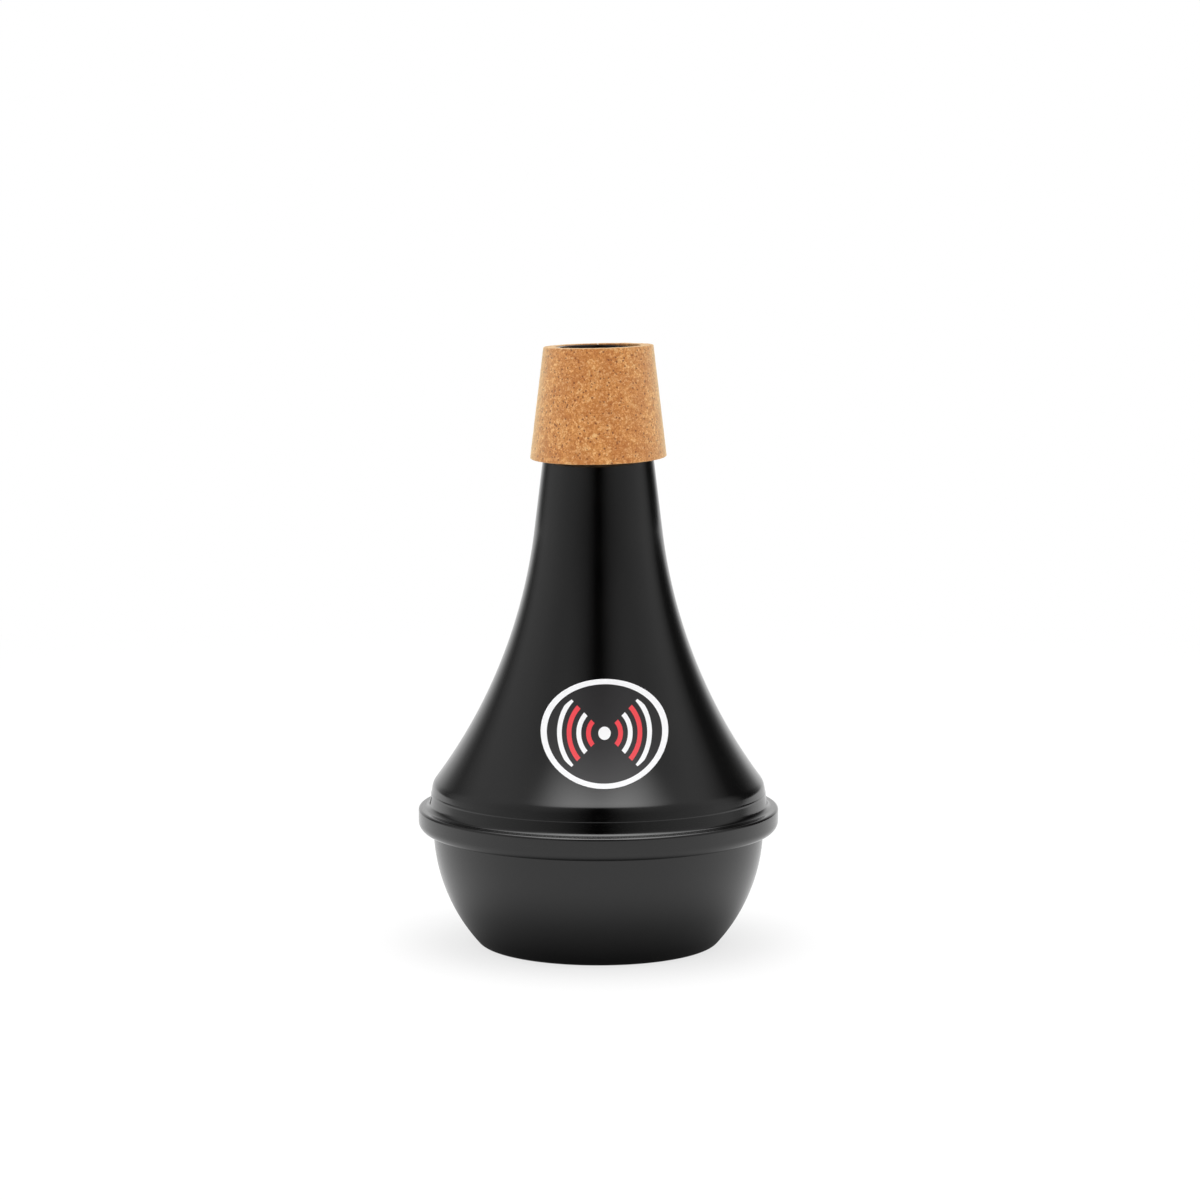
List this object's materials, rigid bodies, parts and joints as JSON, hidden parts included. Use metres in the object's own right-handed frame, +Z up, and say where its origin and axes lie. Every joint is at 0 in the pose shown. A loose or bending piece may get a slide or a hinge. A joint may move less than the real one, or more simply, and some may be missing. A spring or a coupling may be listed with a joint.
{
  "type": "practice mute",
  "caption": "Practice mute for a trumpet: a spun flared shell with a conical neck and cork collar, seamed at a rolled rim to a round bowl that it stands on.",
  "frame": {"origin": "middle of the flat that the bowl stands on", "axes": "+Z up along the neck, -Y the front with the badge, +X to the right of the front"},
  "size_m": [0.09, 0.09, 0.1501],
  "materials": {
    "black_shell": "spun, black anodised, satin gloss",
    "black_bowl": "spun, black anodised, satin",
    "seal_rubber": "moulded, matt",
    "collar_cork": "agglomerated cork, sanded",
    "collar_glue": "dried contact glue",
    "badge_print": "printed film, gloss"
  },
  "bodies": {
    "root": {"upper_shell": "black_shell", "base_bowl": "black_bowl", "seam_seal": "seal_rubber", "cork_collar": "collar_cork", "collar_glue": "collar_glue", "badge": "badge_print"}
  },
  "joints": []
}
